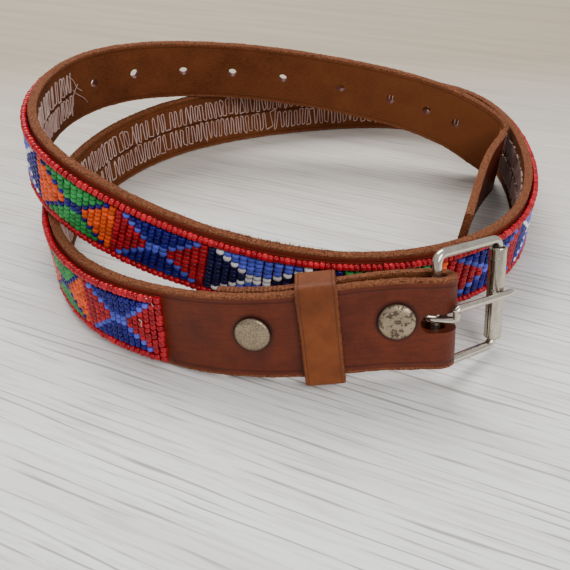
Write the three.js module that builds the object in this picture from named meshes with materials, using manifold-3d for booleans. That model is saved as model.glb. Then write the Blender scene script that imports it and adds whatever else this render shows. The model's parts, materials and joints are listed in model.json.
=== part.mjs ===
// A beaded leather belt with a roller buckle, standing on its edge in two loose turns.
// Millimetres, +Z up, origin at the bottom centre of the whole belt, -Y towards the viewer.
import * as THREE from "three";
import { mergeVertices } from "three/addons/utils/BufferGeometryUtils.js";
import Module from "manifold-3d";

const manifold = await Module();
manifold.setup();

// Strap
const STRAP_WIDTH = 28;
const LEATHER = 3;
const COIL_WIDTH = 200;
const COIL_DEPTH = 190;
const HOLE_DIAMETER = 4;
const HOLES_FROM_TIP = [107, 122, 140, 165, 194, 219, 243, 267, 289];

// Gap between pieces that touch on the real belt
const CLEARANCE = 0.3;

// Fold round the buckle's bar, and the flap behind it
const FLAP_LENGTH = 65;
const FLAP_CLOSING_LENGTH = 50;
const SLOT_WIDTH = 6.4;
const SLOT_LENGTH = 5;
const LOOP_SLACK = 1.5;
const FLAP_RAISED = 0.4;

// Beadwork
const BEAD_HEIGHT = 2.2;
const BORDER_DIAMETER = 2.6;
const BEAD_MARGIN = 2;
const BEADS_FROM_FOLD = 82;
const BEADS_FROM_FIRST_HOLE = 14;

// Rivets, with their places from the fold
const RIVETS_FROM_FOLD = [11.8, 53.8];
const RIVETS_RAISED = 1.8;
const RIVET_CAP_DIAMETER = 10.9;
const RIVET_CAP_HEIGHT = 1.3;
const RIVET_STEM_DIAMETER = 3.6;
const RIVET_BACK_DIAMETER = 8;
const RIVET_BACK_HEIGHT = 0.9;
const RIVET_CLEARANCE = 0.55;

// Keeper
const KEEPER_FROM_FOLD = 34;
const KEEPER_WIDTH = 12;
const KEEPER_LEATHER = 1.5;
const KEEPER_SLACK = 1.9;
const KEEPER_DROP = 0.3;
const KEEPER_SLANT = -1.3;
const KEEPER_CORNER = 2.4;

// Buckle: frame, roller and tongue
const WIRE = 3;
const FRAME_REACH = 27;
const FRAME_CORNER = 2.8;
const FRAME_SIDE_CLEARANCE = 2.2;
const FRAME_SHIFT = 1.9;
const FRAME_SWING = 39;
const ROLLER_DIAMETER = 5.4;
const ROLLER_WALL = 0.7;
const TONGUE_WIRE = 2.4;
const TONGUE_OVERHANG = 4.5;
const TONGUE_EYE_TURN = 290;
const TONGUE_EYE_ASIDE = 0.9;
const TONGUE_KINK_ASIDE = 5;
const TONGUE_TIP_ASIDE = 2.4;
const RUNNING_CLEARANCE = 0.35;

// The strap's run, from the fold at the buckle to the tail's tip, as the control points of a
// smooth curve. Shares of the coil's width and depth, then the height of the lower edge above
// the floor as a share of the strap's width, and the lean of the top away from the coil's
// centre in degrees.
const RUN = [
  { across: 0.201, back: -0.519, lift: 0.35, lean: -19 },
  { across: 0.114, back: -0.512, lift: 0.31, lean: -20 },
  { across: 0.005, back: -0.517, lift: 0.18, lean: -14 },
  { across: -0.104, back: -0.502, lift: 0.07, lean: -10 },
  { across: -0.212, back: -0.464, lift: 0, lean: -7 },
  { across: -0.31, back: -0.413, lift: 0, lean: -3 },
  { across: -0.389, back: -0.33, lift: 0, lean: 0 },
  { across: -0.448, back: -0.207, lift: 0, lean: 0 },
  { across: -0.473, back: -0.059, lift: 0, lean: 0 },
  { across: -0.453, back: 0.099, lift: 0, lean: 0 },
  { across: -0.388, back: 0.244, lift: 0, lean: 2 },
  { across: -0.284, back: 0.359, lift: 0, lean: 3 },
  { across: -0.14, back: 0.438, lift: 0, lean: 3 },
  { across: 0.025, back: 0.487, lift: 0, lean: 2 },
  { across: 0.175, back: 0.511, lift: 0, lean: 1 },
  { across: 0.305, back: 0.506, lift: 0, lean: 0 },
  { across: 0.419, back: 0.457, lift: 0, lean: -1 },
  { across: 0.494, back: 0.342, lift: 0, lean: -2 },
  { across: 0.51, back: 0.181, lift: 0, lean: -2 },
  { across: 0.493, back: 0.022, lift: 0, lean: -2 },
  { across: 0.458, back: -0.112, lift: 0, lean: -2 },
  { across: 0.401, back: -0.221, lift: 0, lean: 0 },
  { across: 0.321, back: -0.302, lift: 0, lean: 2 },
  { across: 0.209, back: -0.354, lift: 0.01, lean: 4 },
  { across: 0.071, back: -0.376, lift: 0.05, lean: 5 },
  { across: -0.07, back: -0.356, lift: 0.17, lean: 6 },
  { across: -0.204, back: -0.326, lift: 0.38, lean: 4 },
  { across: -0.315, back: -0.3, lift: 0.71, lean: 1 },
  { across: -0.405, back: -0.245, lift: 0.96, lean: -3 },
  { across: -0.473, back: -0.142, lift: 1.05, lean: -6 },
  { across: -0.51, back: 0.004, lift: 1.09, lean: -9 },
  { across: -0.5, back: 0.166, lift: 1.11, lean: -10 },
  { across: -0.425, back: 0.295, lift: 1.09, lean: -11 },
  { across: -0.296, back: 0.36, lift: 1.03, lean: -11 },
  { across: -0.135, back: 0.374, lift: 0.96, lean: -11 },
  { across: 0.036, back: 0.353, lift: 0.84, lean: -10 },
  { across: 0.192, back: 0.312, lift: 0.71, lean: -9 },
  { across: 0.312, back: 0.266, lift: 0.57, lean: -7 },
  { across: 0.392, back: 0.227, lift: 0.4, lean: -5 },
  { across: 0.448, back: 0.199, lift: 0.19, lean: -3 },
  { across: 0.477, back: 0.167, lift: 0.03, lean: 0 },
  { across: 0.469, back: 0.123, lift: 0, lean: 1 },
  { across: 0.433, back: 0.074, lift: 0, lean: 2 },
  { across: 0.382, back: -0.026, lift: 0, lean: 4 },
  { across: 0.303, back: -0.235, lift: 0, lean: 5 },
];

// Fineness of the solids
const SAMPLES_PER_ROW = 24;
const MAX_STEP = 11;
const MAX_STEP_TURN = 0.11;
const FOLD_STEPS = 10;
const ROUND_SIDES = 20;
const WIRE_SIDES = 10;
const TONGUE_EYE_STEPS = 12;

const UP = new THREE.Vector3(0, 0, 1);

const LEATHER_FACE = material(0x6b3320, 0.6, 0);
const KEEPER_LOOK = material(0x8a5030, 0.6, 0);
const NICKEL = material(0xaaa08a, 0.35, 0.9);
const BEAD_FIELD_LOOK = material(0x2a2a8c, 0.3, 0);
const BEAD_BORDER_LOOK = material(0xc82328, 0.3, 0);

function material(color, roughness, metalness) {
  return new THREE.MeshStandardMaterial({ color, roughness, metalness });
}

function radians(degrees) {
  return THREE.MathUtils.degToRad(degrees);
}

// The run as a uniform cubic B-spline that starts on its first row and ends on its last.
function runRow(index) {
  const last = RUN.length - 1;
  if (index < 0) return mixRows(RUN[0], 2, RUN[1], -1);
  if (index > last) return mixRows(RUN[last], 2, RUN[last - 1], -1);
  return RUN[index];
}

function mixRows(a, shareA, b, shareB) {
  const row = {};
  for (const key of Object.keys(a)) row[key] = a[key] * shareA + b[key] * shareB;
  return row;
}

function runValue(place) {
  const index = Math.min(Math.floor(place), RUN.length - 2);
  const u = place - index;
  const weights = [
    (1 - u) ** 3 / 6,
    (3 * u ** 3 - 6 * u ** 2 + 4) / 6,
    (-3 * u ** 3 + 3 * u ** 2 + 3 * u + 1) / 6,
    u ** 3 / 6,
  ];
  const row = {};
  for (const key of Object.keys(RUN[0])) {
    row[key] = weights.reduce((sum, weight, k) => sum + weight * runRow(index + k - 1)[key], 0);
  }
  return row;
}

function runPoint(place) {
  const row = runValue(place);
  const lean = radians(row.lean);
  const halfHeight = (STRAP_WIDTH / 2) * Math.cos(lean) + (LEATHER / 2) * Math.abs(Math.sin(lean));
  const z = row.lift * STRAP_WIDTH + halfHeight;
  return { point: new THREE.Vector3(row.across * COIL_WIDTH, row.back * COIL_DEPTH, z), lean };
}

function measureRun() {
  const places = [0];
  const distances = [0];
  let before = runPoint(0).point;
  const count = (RUN.length - 1) * SAMPLES_PER_ROW;
  for (let i = 1; i <= count; i += 1) {
    const place = i / SAMPLES_PER_ROW;
    const { point } = runPoint(place);
    distances.push(distances[i - 1] + point.distanceTo(before));
    places.push(place);
    before = point;
  }
  return { places, distances };
}

const MEASURED = measureRun();
const RUN_LENGTH = MEASURED.distances[MEASURED.distances.length - 1];

function placeAt(distance) {
  const { places, distances } = MEASURED;
  let low = 0;
  let high = distances.length - 1;
  while (high - low > 1) {
    const middle = (low + high) >> 1;
    if (distances[middle] > distance) high = middle;
    else low = middle;
  }
  const share = (distance - distances[low]) / (distances[high] - distances[low]);
  return places[low] + share * (places[high] - places[low]);
}

// A frame on the strap at a distance from the fold: its centre, the way along the run, the way
// across the width and the outward normal of the grain side.
function frameAt(distance) {
  const place = THREE.MathUtils.clamp(placeAt(distance), 0, RUN.length - 1);
  const step = 1e-3;
  const ahead = runPoint(Math.min(place + step, RUN.length - 1)).point;
  const behind = runPoint(Math.max(place - step, 0)).point;
  const along = ahead.sub(behind).normalize();
  const { point, lean } = runPoint(place);
  const upright = UP.clone().addScaledVector(along, -along.z).normalize();
  const outside = upright.clone().cross(along);
  const width = upright.clone().multiplyScalar(Math.cos(lean)).addScaledVector(outside, Math.sin(lean));
  const normal = outside.clone().multiplyScalar(Math.cos(lean)).addScaledVector(upright, -Math.sin(lean));
  return { centre: point, along, width, normal };
}

function distancesBetween(start, end) {
  const list = [start];
  const probe = 2;
  let heading = frameAt(start).along;
  let at = start;
  while (end - at > probe) {
    let next = at;
    let turned = 0;
    while (next < end && next - at < MAX_STEP && turned < MAX_STEP_TURN) {
      next = Math.min(next + probe, end);
      turned = frameAt(next).along.angleTo(heading);
    }
    list.push(next);
    heading = frameAt(next).along;
    at = next;
  }
  list[list.length - 1] = end;
  return list;
}

function offsetPoint(frame, across, out) {
  return frame.centre.clone().addScaledVector(frame.width, across).addScaledVector(frame.normal, out);
}

// A closed solid through sections with equal numbers of points
function loft(sections, closed = false) {
  const count = sections[0].length;
  const points = sections.flat();
  const positions = points.flatMap((p) => [p.x, p.y, p.z]);
  const index = [];
  const spans = closed ? sections.length : sections.length - 1;
  for (let i = 0; i < spans; i += 1) {
    const here = i * count;
    const there = ((i + 1) % sections.length) * count;
    for (let k = 0; k < count; k += 1) {
      const next = (k + 1) % count;
      index.push(here + k, here + next, there + next, here + k, there + next, there + k);
    }
  }
  if (!closed) {
    const end = (sections.length - 1) * count;
    for (let k = 1; k < count - 1; k += 1) {
      index.push(0, k + 1, k, end, end + k, end + k + 1);
    }
  }
  const geometry = new THREE.BufferGeometry();
  geometry.setAttribute("position", new THREE.Float32BufferAttribute(positions, 3));
  geometry.setIndex(index);
  return facingOut(geometry);
}

function facingOut(geometry) {
  const index = geometry.index.array;
  const corner = (k) => new THREE.Vector3().fromBufferAttribute(geometry.attributes.position, index[k]);
  let volume = 0;
  for (let k = 0; k < index.length; k += 3) {
    volume += corner(k).dot(corner(k + 1).cross(corner(k + 2)));
  }
  if (volume < 0) {
    for (let k = 0; k < index.length; k += 3) [index[k], index[k + 1]] = [index[k + 1], index[k]];
  }
  return geometry;
}

function solidOf(geometry) {
  let plain = geometry.clone();
  plain.deleteAttribute("normal");
  plain.deleteAttribute("uv");
  plain = mergeVertices(plain, 1e-5);
  const triVerts = new Uint32Array(plain.index.array);
  const vertProperties = new Float32Array(plain.attributes.position.array);
  return new manifold.Manifold(new manifold.Mesh({ numProp: 3, vertProperties, triVerts }));
}

function geometryOf(solid) {
  const mesh = solid.getMesh();
  const geometry = new THREE.BufferGeometry();
  geometry.setAttribute("position", new THREE.BufferAttribute(mesh.vertProperties, 3));
  geometry.setIndex(new THREE.BufferAttribute(mesh.triVerts, 1));
  return geometry;
}

function cutAway(geometry, cutters) {
  const solid = cutters.reduce((left, cutter) => left.subtract(solidOf(cutter)), solidOf(geometry));
  return geometryOf(solid);
}

// Places a geometry with its x back towards the buckle, y across the width and z outward
function seat(geometry, frame, centre) {
  const back = frame.along.clone().negate();
  const matrix = new THREE.Matrix4().makeBasis(back, frame.width, frame.normal);
  matrix.setPosition(centre);
  return geometry.applyMatrix4(matrix);
}

// Every layer is lofted through the same stations, so that faceted neighbours keep their gap
const BEADS_END = RUN_LENGTH - Math.max(...HOLES_FROM_TIP) - BEADS_FROM_FIRST_HOLE;
const STOPS = [0, FLAP_LENGTH, BEADS_FROM_FOLD, BEADS_END, RUN_LENGTH];
const STATIONS = STOPS.slice(1).reduce((list, stop, i) => {
  return list.concat(distancesBetween(STOPS[i], stop).slice(1));
}, [0]);

function stationsBetween(start, end) {
  return STATIONS.filter((distance) => distance >= start && distance <= end);
}

// Fold and flap
const FOLD_RADIUS = WIRE / 2 + LOOP_SLACK + LEATHER / 2;
const FLAP_CLOSED_OFFSET = LEATHER + CLEARANCE;
const FOLD_FRAME = frameAt(0);
const BAR_CENTRE = offsetPoint(FOLD_FRAME, 0, -FOLD_RADIUS);

function flapOffset(distance) {
  const closed = THREE.MathUtils.smoothstep(distance, 0, FLAP_CLOSING_LENGTH);
  return 2 * FOLD_RADIUS + (FLAP_CLOSED_OFFSET - 2 * FOLD_RADIUS) * closed;
}

function strapSection(centre, width, normal) {
  const frame = { centre, width, normal };
  const half = STRAP_WIDTH / 2;
  const skin = LEATHER / 2;
  return [
    offsetPoint(frame, -half, -skin),
    offsetPoint(frame, half, -skin),
    offsetPoint(frame, half, skin),
    offsetPoint(frame, -half, skin),
  ];
}

function foldSection(angle) {
  const outward = FOLD_FRAME.normal.clone().multiplyScalar(Math.cos(angle));
  outward.addScaledVector(FOLD_FRAME.along, -Math.sin(angle));
  const centre = BAR_CENTRE.clone().addScaledVector(outward, FOLD_RADIUS);
  return strapSection(centre, FOLD_FRAME.width, outward);
}

function flapSection(distance) {
  const frame = frameAt(distance);
  const raised = FLAP_RAISED * THREE.MathUtils.smoothstep(distance, 0, FLAP_CLOSING_LENGTH);
  const centre = offsetPoint(frame, raised, -flapOffset(distance));
  return strapSection(centre, frame.width, frame.normal.clone().negate());
}

function holeCutter(frame, diameter, depth) {
  const hole = new THREE.CylinderGeometry(diameter / 2, diameter / 2, depth, ROUND_SIDES);
  hole.rotateX(Math.PI / 2);
  return seat(hole, frame, frame.centre);
}

// The rivets sit a little above the middle of the strap
function rivetFrame(distance) {
  const frame = frameAt(distance);
  return { ...frame, centre: offsetPoint(frame, RIVETS_RAISED, 0) };
}

function slotCutter() {
  const reach = FOLD_RADIUS + LEATHER;
  const round = SLOT_WIDTH / 2;
  const shape = new THREE.Shape();
  shape.moveTo(reach, round);
  shape.lineTo(round - SLOT_LENGTH, round);
  shape.absarc(round - SLOT_LENGTH, 0, round, Math.PI / 2, 1.5 * Math.PI, false);
  shape.lineTo(reach, -round);
  const slot = new THREE.ExtrudeGeometry(shape, { depth: 2 * reach, bevelEnabled: false, curveSegments: 8 });
  slot.translate(0, 0, -reach);
  return seat(slot, FOLD_FRAME, BAR_CENTRE);
}

function makeStrap() {
  const sections = STATIONS.toReversed().map((distance) => {
    const frame = frameAt(distance);
    return strapSection(frame.centre, frame.width, frame.normal);
  });
  for (let i = 1; i < FOLD_STEPS; i += 1) sections.push(foldSection((Math.PI * i) / FOLD_STEPS));
  for (const distance of stationsBetween(0, FLAP_LENGTH)) sections.push(flapSection(distance));
  const throughBoth = 4 * FOLD_RADIUS + 2 * LEATHER;
  const cutters = [
    slotCutter(),
    ...HOLES_FROM_TIP.map((gap) => holeCutter(frameAt(RUN_LENGTH - gap), HOLE_DIAMETER, 2 * LEATHER)),
    ...RIVETS_FROM_FOLD.map((at) => {
      return holeCutter(rivetFrame(at), RIVET_STEM_DIAMETER + 2 * CLEARANCE, throughBoth);
    }),
  ];
  return cutAway(loft(sections), cutters);
}

// Beadwork, lying on the grain side
const FIELD_HALF = STRAP_WIDTH / 2 - BEAD_MARGIN - BORDER_DIAMETER - CLEARANCE;
const BORDER_CENTRE = STRAP_WIDTH / 2 - BEAD_MARGIN - BORDER_DIAMETER / 2;

function makeBeadField() {
  const low = LEATHER / 2 + CLEARANCE;
  const high = low + BEAD_HEIGHT;
  const shoulder = BEAD_HEIGHT / 3;
  const outline = [
    [-FIELD_HALF, low],
    [FIELD_HALF, low],
    [FIELD_HALF, high - shoulder],
    [FIELD_HALF - shoulder, high],
    [shoulder - FIELD_HALF, high],
    [-FIELD_HALF, high - shoulder],
  ];
  const sections = stationsBetween(BEADS_FROM_FOLD, BEADS_END).map((distance) => {
    const frame = frameAt(distance);
    return outline.map(([across, out]) => offsetPoint(frame, across, out));
  });
  return loft(sections);
}

function makeBeadBorder(side) {
  const radius = BORDER_DIAMETER / 2;
  const sides = 8;
  const sections = stationsBetween(BEADS_FROM_FOLD, BEADS_END).map((distance) => {
    const frame = frameAt(distance);
    return Array.from({ length: sides }, (_, k) => {
      const angle = (2 * Math.PI * (k + 0.5)) / sides;
      const across = side * BORDER_CENTRE + radius * Math.cos(angle);
      return offsetPoint(frame, across, LEATHER / 2 + CLEARANCE + radius + radius * Math.sin(angle));
    });
  });
  return loft(sections);
}

// Rivet: domed cap outside, stem through both layers, flat cap behind the flap
function makeRivet(distance) {
  const front = LEATHER / 2 + RIVET_CLEARANCE;
  const back = -flapOffset(distance) - LEATHER / 2 - RIVET_CLEARANCE;
  const cap = RIVET_CAP_DIAMETER / 2;
  const stem = RIVET_STEM_DIAMETER / 2;
  const end = RIVET_BACK_DIAMETER / 2;
  const rim = RIVET_CAP_HEIGHT / 3;
  const profile = [
    [0, back - RIVET_BACK_HEIGHT],
    [end, back - RIVET_BACK_HEIGHT],
    [end, back],
    [stem, back],
    [stem, front],
    [cap, front],
    [cap, front + rim],
    [cap * 0.8, front + 0.75 * RIVET_CAP_HEIGHT],
    [cap * 0.45, front + 0.95 * RIVET_CAP_HEIGHT],
    [0, front + RIVET_CAP_HEIGHT],
  ].map(([radius, height]) => new THREE.Vector2(radius, height));
  const rivet = new THREE.LatheGeometry(profile, ROUND_SIDES);
  rivet.rotateX(Math.PI / 2);
  const frame = rivetFrame(distance);
  return seat(rivet, frame, frame.centre);
}

// Keeper: a leather loop round both layers, hanging a little below the strap
function roundedRectangle(Kind, halfAcross, halfDeep, corner) {
  const outline = new Kind();
  outline.moveTo(-halfAcross + corner, -halfDeep);
  outline.absarc(halfAcross - corner, -halfDeep + corner, corner, -Math.PI / 2, 0, false);
  outline.absarc(halfAcross - corner, halfDeep - corner, corner, 0, Math.PI / 2, false);
  outline.absarc(-halfAcross + corner, halfDeep - corner, corner, Math.PI / 2, Math.PI, false);
  outline.absarc(-halfAcross + corner, -halfDeep + corner, corner, Math.PI, 1.5 * Math.PI, false);
  return outline;
}

function makeKeeper() {
  const frame = frameAt(KEEPER_FROM_FOLD);
  const widest = flapOffset(KEEPER_FROM_FOLD - KEEPER_WIDTH);
  const innerDeep = (LEATHER + widest) / 2 + 2 * CLEARANCE;
  const innerAcross = (STRAP_WIDTH + KEEPER_SLACK) / 2;
  const innerCorner = KEEPER_CORNER - KEEPER_LEATHER;
  const outerAcross = innerAcross + KEEPER_LEATHER;
  const outerDeep = innerDeep + KEEPER_LEATHER;
  const shape = roundedRectangle(THREE.Shape, outerAcross, outerDeep, KEEPER_CORNER);
  shape.holes.push(roundedRectangle(THREE.Path, innerAcross, innerDeep, innerCorner));
  const band = new THREE.ExtrudeGeometry(shape, {
    depth: KEEPER_WIDTH,
    bevelEnabled: false,
    curveSegments: 4,
  });
  band.translate(0, 0, -KEEPER_WIDTH / 2);
  band.rotateY(Math.PI / 2);
  band.rotateX(Math.PI / 2);
  band.rotateZ(radians(KEEPER_SLANT));
  return seat(band, frame, offsetPoint(frame, -KEEPER_DROP, -widest / 2));
}

// The buckle's own frame: x from the bar towards the roller, y along the bar, z to the front
const SWING_AXIS = FOLD_FRAME.width.clone();
const BUCKLE_OUT = FOLD_FRAME.along.clone().negate().applyAxisAngle(SWING_AXIS, radians(FRAME_SWING));
const BUCKLE_FRONT = BUCKLE_OUT.clone().cross(SWING_AXIS);
const HALF_SPAN = STRAP_WIDTH / 2 + FRAME_SIDE_CLEARANCE + WIRE / 2;

function seatOnBar(geometry) {
  const matrix = new THREE.Matrix4().makeBasis(BUCKLE_OUT, SWING_AXIS, BUCKLE_FRONT);
  matrix.setPosition(BAR_CENTRE);
  return geometry.applyMatrix4(matrix);
}

function makeBuckleFrame() {
  const corners = [
    { far: 0, side: 1, start: Math.PI },
    { far: 1, side: 1, start: Math.PI / 2 },
    { far: 1, side: -1, start: 0 },
    { far: 0, side: -1, start: -Math.PI / 2 },
  ];
  const steps = 5;
  const sections = [];
  for (const { far, side, start } of corners) {
    const x = far * (FRAME_REACH - 2 * FRAME_CORNER) + FRAME_CORNER;
    const y = FRAME_SHIFT + side * (HALF_SPAN - FRAME_CORNER);
    for (let i = 0; i <= steps; i += 1) {
      const angle = start - (i / steps) * (Math.PI / 2);
      const out = new THREE.Vector3(Math.cos(angle), Math.sin(angle), 0);
      const centre = new THREE.Vector3(x, y, 0).addScaledVector(out, FRAME_CORNER);
      sections.push(wireSection(centre, out, new THREE.Vector3(0, 0, 1), WIRE / 2));
    }
  }
  return seatOnBar(loft(sections, true));
}

function wireSection(centre, out, side, radius) {
  return Array.from({ length: WIRE_SIDES }, (_, k) => {
    const angle = (2 * Math.PI * k) / WIRE_SIDES;
    const point = centre.clone().addScaledVector(out, radius * Math.cos(angle));
    return point.addScaledVector(side, radius * Math.sin(angle));
  });
}

function makeRoller() {
  const inner = ROLLER_DIAMETER / 2 - ROLLER_WALL;
  const outer = ROLLER_DIAMETER / 2;
  const half = HALF_SPAN - FRAME_CORNER + CLEARANCE;
  const profile = [
    [inner, -half],
    [outer, -half],
    [outer, half],
    [inner, half],
    [inner, -half],
  ].map(([radius, height]) => new THREE.Vector2(radius, height));
  const roller = new THREE.LatheGeometry(profile, ROUND_SIDES);
  roller.translate(FRAME_REACH, FRAME_SHIFT, 0);
  return seatOnBar(roller);
}

// Tongue: an eye round the bar, a kink where it leaves the slot, and a straight shaft that
// lies on the roller. The shaft is bent a little aside, towards the strap's upper edge.
function makeTongue() {
  const radius = TONGUE_WIRE / 2;
  const eye = WIRE / 2 + RUNNING_CLEARANCE + radius;
  const overFold = FOLD_RADIUS + LEATHER / 2 + radius + CLEARANCE;
  const overRoller = ROLLER_DIAMETER / 2 + radius + CLEARANCE;
  const path = [];
  for (let i = 0; i <= TONGUE_EYE_STEPS; i += 1) {
    const angle = radians(45 - TONGUE_EYE_TURN * (1 - i / TONGUE_EYE_STEPS));
    path.push([-eye * Math.cos(angle), TONGUE_EYE_ASIDE, eye * Math.sin(angle)]);
  }
  path.push([0.15 * overFold, 1.5 * TONGUE_EYE_ASIDE, 0.95 * overFold]);
  path.push([0.05 * overFold, TONGUE_KINK_ASIDE, 1.02 * overFold]);
  path.push([FRAME_REACH, TONGUE_TIP_ASIDE, overRoller]);
  path.push([FRAME_REACH + TONGUE_OVERHANG, TONGUE_TIP_ASIDE, overRoller - radius / 2]);
  const points = path.map(([x, y, z]) => new THREE.Vector3(x, y, z));
  const sections = points.map((point, i) => {
    const before = points[Math.max(i - 1, 0)];
    const after = points[Math.min(i + 1, points.length - 1)];
    const run = after.clone().sub(before).normalize();
    const side = new THREE.Vector3(0, 1, 0).addScaledVector(run, -run.y).normalize();
    return wireSection(point, side.clone().cross(run), side, radius);
  });
  return seatOnBar(loft(sections));
}

const belt = new THREE.Group();

function add(name, geometry, look) {
  const mesh = new THREE.Mesh(geometry, look);
  mesh.name = name;
  belt.add(mesh);
}

add("strap", makeStrap(), LEATHER_FACE);
add("bead_field", makeBeadField(), BEAD_FIELD_LOOK);
add("bead_border_upper", makeBeadBorder(1), BEAD_BORDER_LOOK);
add("bead_border_lower", makeBeadBorder(-1), BEAD_BORDER_LOOK);
add("keeper", makeKeeper(), KEEPER_LOOK);
RIVETS_FROM_FOLD.forEach((at, i) => add(`rivet_${i + 1}`, makeRivet(at), NICKEL));
add("buckle_frame", makeBuckleFrame(), NICKEL);
add("roller", makeRoller(), NICKEL);
add("tongue", makeTongue(), NICKEL);

// The origin is at the bottom centre of the whole belt
const box = new THREE.Box3().setFromObject(belt);
const middle = box.getCenter(new THREE.Vector3());
belt.position.set(-middle.x, -middle.y, -box.min.z);

export default belt;
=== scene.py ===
import json
import math

import bmesh
import bpy
import numpy as np
from mathutils import Matrix, Vector


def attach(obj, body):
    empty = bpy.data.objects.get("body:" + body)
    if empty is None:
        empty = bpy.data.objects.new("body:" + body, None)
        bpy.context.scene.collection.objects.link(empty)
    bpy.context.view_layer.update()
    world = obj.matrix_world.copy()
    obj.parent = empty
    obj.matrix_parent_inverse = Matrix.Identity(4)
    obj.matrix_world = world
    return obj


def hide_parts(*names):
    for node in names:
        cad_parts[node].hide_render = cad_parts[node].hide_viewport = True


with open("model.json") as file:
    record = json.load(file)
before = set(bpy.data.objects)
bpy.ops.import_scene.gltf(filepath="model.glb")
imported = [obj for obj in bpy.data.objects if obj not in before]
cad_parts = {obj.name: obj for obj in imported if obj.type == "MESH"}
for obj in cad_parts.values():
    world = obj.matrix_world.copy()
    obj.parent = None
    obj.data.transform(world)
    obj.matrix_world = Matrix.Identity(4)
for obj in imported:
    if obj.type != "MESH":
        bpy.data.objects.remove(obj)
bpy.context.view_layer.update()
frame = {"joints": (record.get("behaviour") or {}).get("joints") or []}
rng = np.random.default_rng(11)

# Strap
STRAP_WIDTH = 28.0
LEATHER = 3.0
COIL_WIDTH = 200.0
COIL_DEPTH = 190.0
HOLE_DIAMETER = 4.0
HOLES_FROM_TIP = (107, 122, 140, 165, 194, 219, 243, 267, 289)
CREASE_ACROSS = 11.6
SECTION_STEP = 1.3

# The strap's cut edge from grain to flesh: how far it goes past half the strap's width, in
# millimetres, and its height as a share of half the leather.
EDGE_ROUND = (
    (-0.3, 1.0), (-0.05, 0.72), (0.08, 0.25), (0.08, -0.25), (-0.05, -0.72), (-0.3, -1.0),
)

# Fold round the bar, and the flap behind it
FLAP_LENGTH = 65.0
FLAP_CLOSING_LENGTH = 50.0
FLAP_RAISED = 0.4
FLAP_CLOSED_OFFSET = LEATHER + 0.3
SLOT_WIDTH = 5.8
SLOT_LENGTH = 5.0
SLOT_RAISED = 0.6
FOLD_RADIUS = 4.5

# Beadwork
BEADS_START = 82.0
BEADS_FROM_FIRST_HOLE = 14.0
BEAD_ROWS = 10
FIELD_HALF = 9.1
FIELD_OUT = 2.95
BEAD_THICKNESS = 2.25
BORDER_CENTRE = 10.7
BORDER_OUT = 3.1
BORDER_DIAMETER = 2.5
BORDER_PITCH = 1.85
BEAD_SIDES = 12
END_BEADS = 12
END_BEAD_PITCH = 1.98

# Thread on the flesh side: two rows of stitches, from and to these places across the strap
STITCH_ROWS = ((0.9, 9.4), (-9.4, -0.9))
STITCH_RADIUS = 0.27
STITCH_LIFT = 0.2
LOOSE_RADIUS = 0.16
LOOSE_LIFT = 0.3

# Leather fibres on the cut edges, and the tuft on the upper edge at the front
FIBRE_COUNT = 13000
FIBRES_ABOVE = 0.72
TUFT_SHARE = 0.06
TUFT_PLACE = 652.0
TUFT_SPREAD = 9.0

# Rivets and keeper
RIVETS_FROM_FOLD = (11.8, 53.8)
RIVETS_RAISED = 1.8
RIVET_CAP = 5.45
RIVET_CAP_HEIGHT = 1.3
RIVET_STEM = 1.8
RIVET_BACK = 4.0
RIVET_BACK_HEIGHT = 0.9
RIVET_CLEARANCE = 0.55
RIVET_HOLE_SLACK = 0.3
KEEPER_FROM_FOLD = 34.0
KEEPER_WIDTH = 12.0
KEEPER_LEATHER = 1.5
KEEPER_SLACK_ACROSS = 1.9
KEEPER_SLACK_DEEP = 1.2
KEEPER_DROP = 0.3
KEEPER_SLANT = -1.3
KEEPER_CORNER = 1.65

# The rivet's cap from its rim to its middle, as shares of its radius and of its height
RIVET_DOME = (
    (0.96, 0.0), (1.0, 0.15), (0.99, 0.36), (0.95, 0.55), (0.86, 0.72),
    (0.7, 0.86), (0.45, 0.96), (0.2, 1.0), (0.0, 1.0),
)

# Buckle, in its own frame: x from the bar to the roller, y along the bar, z to the front
WIRE = 3.0
FRAME_REACH = 27.0
FRAME_CORNER = 2.8
HALF_SPAN = 17.7
FRAME_SHIFT = 1.9
FRAME_SWING = 39.0
ROLLER_RADIUS = 2.7
ROLLER_WALL = 0.7
TONGUE_RADIUS = 1.2
TONGUE_EYE = 3.05
OVER_FOLD = 7.5
OVER_ROLLER = 4.2
TONGUE_OVERHANG = 4.5
TONGUE_EYE_ASIDE = 0.9
TONGUE_ROOT_ASIDE = 1.35
TONGUE_KINK_ASIDE = 5.2
TONGUE_END_ASIDE = 2.4
TONGUE_END_DROP = 0.6

# Camera: its place from the origin of the run's table, and its tilt and roll in degrees
CAMERA_PLACE = (-3.9, -231.0, 140.8)
CAMERA_DOWN = 37.75
CAMERA_ROLL = -0.4
SENSOR_WIDTH = 36.0
FOCAL_PIXELS = 609
PHOTO_PIXELS = 570

# Lights aimed at the origin: place and size in metres, power and colour
LIGHTS = (
    ("window", (-0.25, 0.75, 1.05), (0.9, 0.7), 19, (1.0, 0.98, 0.95)),
    ("room", (0.5, -0.9, 0.9), (0.8, 0.8), 11, (1.0, 0.98, 0.96)),
)
DAYLIGHT = (0.96, 0.98, 1.0, 1.0)
DAYLIGHT_STRENGTH = 0.55
FLOOR_GAP = 0.15

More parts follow.
